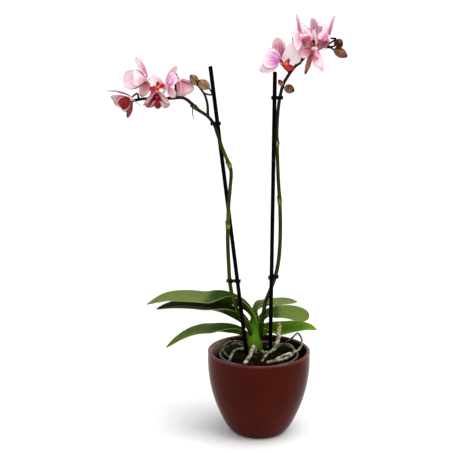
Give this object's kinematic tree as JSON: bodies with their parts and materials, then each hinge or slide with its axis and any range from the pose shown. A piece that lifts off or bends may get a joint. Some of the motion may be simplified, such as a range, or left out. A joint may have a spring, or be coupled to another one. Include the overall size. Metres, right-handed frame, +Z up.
{
  "type": "potted orchid",
  "caption": "Potted moth orchid: arching flower spikes clipped to stakes, strap leaves and aerial roots in bark, in a round tapered glazed cover pot",
  "frame": {"origin": "centre of the cover pot's flat base, on the surface that it stands on", "axes": "+Z up along the plant; the leaves spread to -X and +X; +Y is the back of the plant"},
  "size_m": [0.3005, 0.1576, 0.5497],
  "materials": {
    "glaze": "glossy dark red-brown glaze",
    "clear_plastic": "thin clear plastic",
    "bark_chips": "rough dark bark chips",
    "root_skin": "matte grey-green root skin",
    "crown_green": "waxy bright green",
    "leaf_green": "thick leaf with a waxy sheen",
    "stake_black": "smooth near-black",
    "clip_black": "smooth near-black",
    "spike_green": "green below, dark brown above",
    "bud_brown": "matte brown to crimson",
    "petal_pink": "soft pink and white petal",
    "lip_crimson": "crimson with a yellow throat"
  },
  "bodies": {
    "root": {"cover_pot": "glaze", "grow_pot": "clear_plastic", "bark": "bark_chips", "roots": "root_skin", "crown": "crown_green", "leaf_left_top": "leaf_green", "leaf_back": "leaf_green", "leaf_left_middle": "leaf_green", "leaf_right_top": "leaf_green", "leaf_left_low": "leaf_green", "leaf_right_low": "leaf_green", "stake_left": "stake_black", "stake_right": "stake_black", "clip_left_low": "clip_black", "clip_left_high": "clip_black", "clip_right_low": "clip_black", "clip_right_high": "clip_black", "spike_left": "spike_green", "spike_right": "spike_green", "bud_left_1": "bud_brown", "bud_left_2": "bud_brown", "bud_right_1": "bud_brown", "bud_right_2": "bud_brown", "bud_right_3": "bud_brown", "bud_right_4": "bud_brown", "bloom_left_1": "petal_pink", "lip_left_1": "lip_crimson", "bloom_left_2": "petal_pink", "lip_left_2": "lip_crimson", "bloom_left_3": "petal_pink", "lip_left_3": "lip_crimson", "bloom_left_4": "petal_pink", "lip_left_4": "lip_crimson", "bloom_left_5": "petal_pink", "lip_left_5": "lip_crimson", "bloom_right_1": "petal_pink", "lip_right_1": "lip_crimson", "bloom_right_2": "petal_pink", "lip_right_2": "lip_crimson", "bloom_right_3": "petal_pink", "lip_right_3": "lip_crimson", "bloom_right_4": "petal_pink", "lip_right_4": "lip_crimson", "bloom_right_5": "petal_pink", "lip_right_5": "lip_crimson"}
  },
  "joints": []
}
